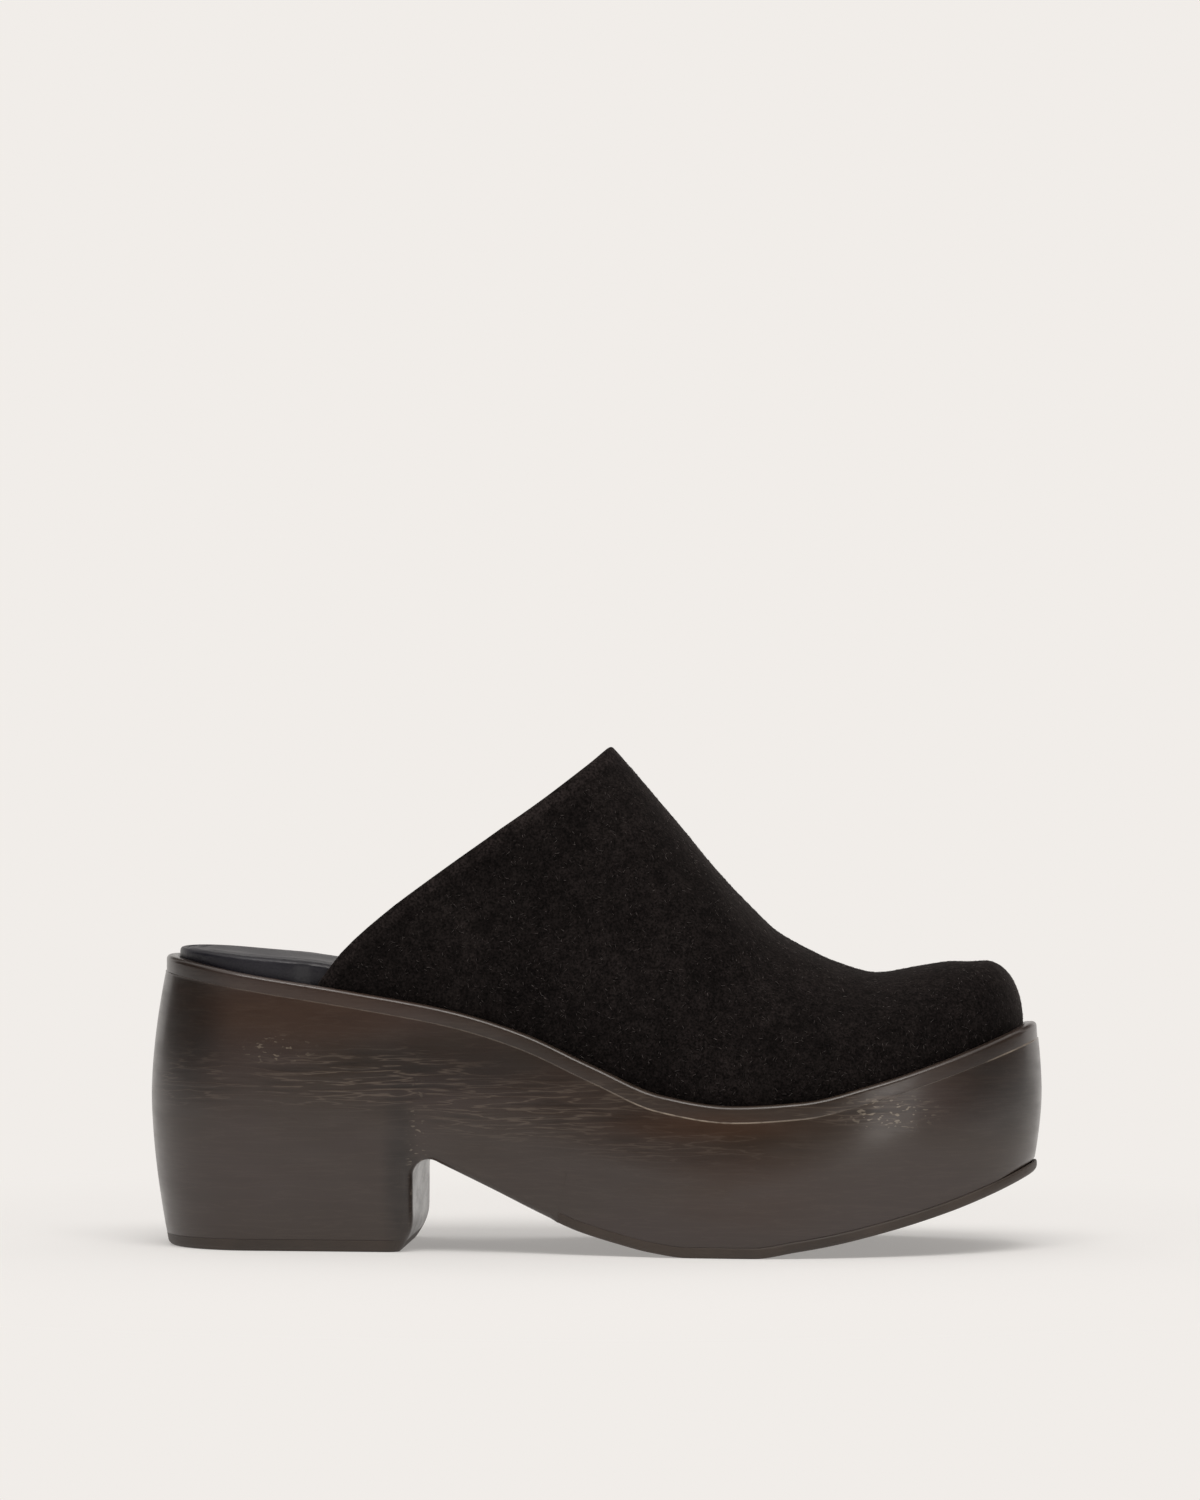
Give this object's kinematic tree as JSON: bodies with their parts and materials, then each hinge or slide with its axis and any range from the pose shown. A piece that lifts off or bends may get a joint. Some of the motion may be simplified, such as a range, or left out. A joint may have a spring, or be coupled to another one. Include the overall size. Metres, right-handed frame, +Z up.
{
  "type": "clog",
  "caption": "Right-foot platform clog: closed suede toe, open back, block heel, padded insole, standing empty on its sole.",
  "frame": {"origin": "on the floor, under the middle of the shoe's box", "axes": "+X from the heel to the toe, +Y towards the inner side of the foot, +Z up"},
  "size_m": [0.2634, 0.0962, 0.1473],
  "materials": {
    "platform": "dark stained wood look, satin varnish, fine grain along the length",
    "rubber": "dark brown moulded rubber, matt",
    "suede": "black suede, soft nap, no gloss",
    "insole_leather": "dark smooth leather with a light sheen over a padded footbed"
  },
  "bodies": {
    "root": {"platform": "platform", "outsole": "rubber", "heel_top_lift": "rubber", "upper": "suede", "insole": "insole_leather"}
  },
  "joints": []
}
